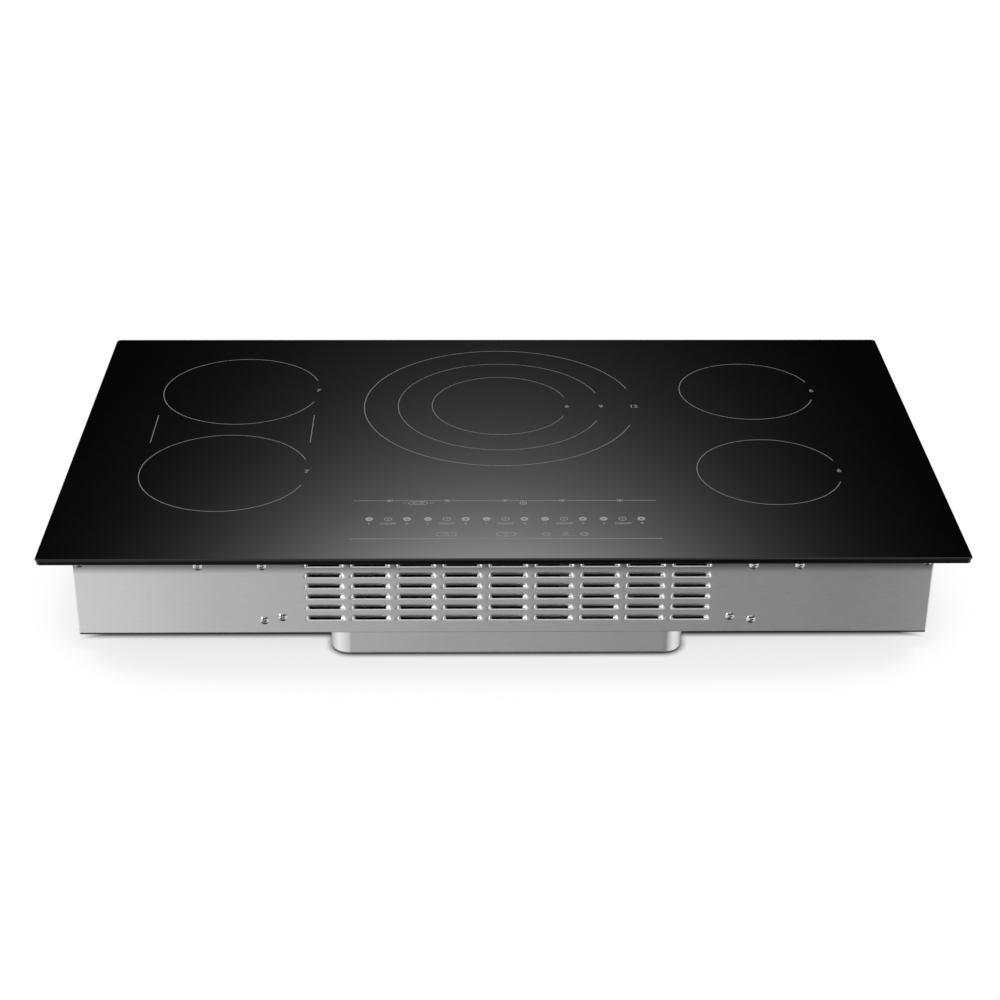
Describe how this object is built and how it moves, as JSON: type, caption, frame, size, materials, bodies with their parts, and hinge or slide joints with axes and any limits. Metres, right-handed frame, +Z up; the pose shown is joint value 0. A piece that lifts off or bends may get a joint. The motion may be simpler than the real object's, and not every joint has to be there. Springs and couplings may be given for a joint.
{
  "type": "electric cooktop",
  "caption": "Built-in electric cooktop: black glass with round radiant zones, a bridge zone and touch keys, over a louvred steel box with a dropped tray and hold-down clamps.",
  "frame": {"origin": "under the middle of the glass, level with the underside of the tray", "axes": "+Z up through the glass, -Y towards the cook (front with louvres and keys), +X to the cook's right"},
  "size_m": [0.9164, 0.543, 0.13],
  "materials": {
    "glass": "polished black ceramic glass, opaque",
    "seal": "matt black",
    "silicone": "cured silicone",
    "brushed_steel": "brushed lengthways",
    "plated_steel": "zinc plated sheet",
    "screw_steel": "bright plated",
    "spring_steel": "blued spring strip",
    "dish_steel": "aluminised sheet",
    "insulation": "pressed mineral board",
    "heater_alloy": "oxidised heater alloy",
    "limiter_ceramic": "glazed cream",
    "white_plastic": "moulded",
    "black_plastic": "moulded",
    "circuit_board": "solder masked",
    "pad_foam": "conductive foam",
    "transformer_core": "varnished laminations",
    "motor_winding": "enamelled copper",
    "terminal_plastic": "moulded",
    "wire_sleeve": "woven glass sleeve",
    "supply_sleeve": "silicone sleeve",
    "flat_cable": "flat cable"
  },
  "bodies": {
    "chassis": {"glass_top": "glass", "perimeter_seal": "seal", "glass_adhesive": "silicone", "glass_frame": "plated_steel", "front_panel": "brushed_steel", "box_pan": "plated_steel", "rear_panel": "plated_steel", "front_screws": "screw_steel", "case_screws": "screw_steel", "duct_wall_left": "plated_steel", "duct_wall_right": "plated_steel", "carrier_plate": "plated_steel", "control_tray": "brushed_steel", "element_rails": "plated_steel", "bridge_straps": "plated_steel", "element_springs": "spring_steel", "dish_left_front": "dish_steel", "dish_left_rear": "dish_steel", "dish_bridge": "dish_steel", "dish_centre": "dish_steel", "dish_right_front": "dish_steel", "dish_right_rear": "dish_steel", "insulation_left_front": "insulation", "insulation_left_rear": "insulation", "insulation_bridge": "insulation", "insulation_centre": "insulation", "insulation_right_front": "insulation", "insulation_right_rear": "insulation", "ribbon_left_front": "heater_alloy", "ribbon_left_rear": "heater_alloy", "ribbon_bridge": "heater_alloy", "ribbon_centre": "heater_alloy", "ribbon_right_front": "heater_alloy", "ribbon_right_rear": "heater_alloy", "limiters": "limiter_ceramic", "touch_carrier": "white_plastic", "touch_board": "circuit_board", "key_pads": "pad_foam", "power_board": "circuit_board", "board_standoffs": "white_plastic", "relays": "black_plastic", "transformer": "transformer_core", "fan_bracket": "plated_steel", "fan_housing": "black_plastic", "fan_motor": "motor_winding", "fan_screws": "screw_steel", "terminal_block": "terminal_plastic", "terminal_cover": "plated_steel", "element_wiring": "wire_sleeve", "supply_wiring": "supply_sleeve", "control_ribbon": "flat_cable", "clamp_bracket_left": "plated_steel", "clamp_bracket_right": "plated_steel"},
    "fan": {"fan_rotor": "black_plastic"},
    "left_foot": {"clamp_foot_left": "black_plastic"},
    "left_screw": {"clamp_screw_left": "screw_steel"},
    "right_foot": {"clamp_foot_right": "black_plastic"},
    "right_screw": {"clamp_screw_right": "screw_steel"}
  },
  "joints": [
    {"name": "fan_spin", "type": "hinge", "parent": "chassis", "child": "fan", "pos_m": [-0.1, -0.2, 0.042], "axis": [0, 1, 0], "continuous": true},
    {"name": "left_clamp_travel", "type": "slide", "parent": "chassis", "child": "left_foot", "axis": [0, 0, 1], "range_m": [0, 0.0125]},
    {"name": "left_clamp_turn", "type": "hinge", "parent": "left_foot", "child": "left_screw", "pos_m": [-0.4435, 0, 0.04], "axis": [0, 0, 1], "range_deg": [0, 3600]},
    {"name": "right_clamp_travel", "type": "slide", "parent": "chassis", "child": "right_foot", "axis": [0, 0, 1], "range_m": [0, 0.0125]},
    {"name": "right_clamp_turn", "type": "hinge", "parent": "right_foot", "child": "right_screw", "pos_m": [0.4435, 0, 0.04], "axis": [0, 0, 1], "range_deg": [0, 3600]}
  ],
  "couplings": [
    {"joint": "left_clamp_turn", "follows": "left_clamp_travel", "rad_per_m": 5026.5},
    {"joint": "right_clamp_turn", "follows": "right_clamp_travel", "rad_per_m": 5026.5}
  ]
}
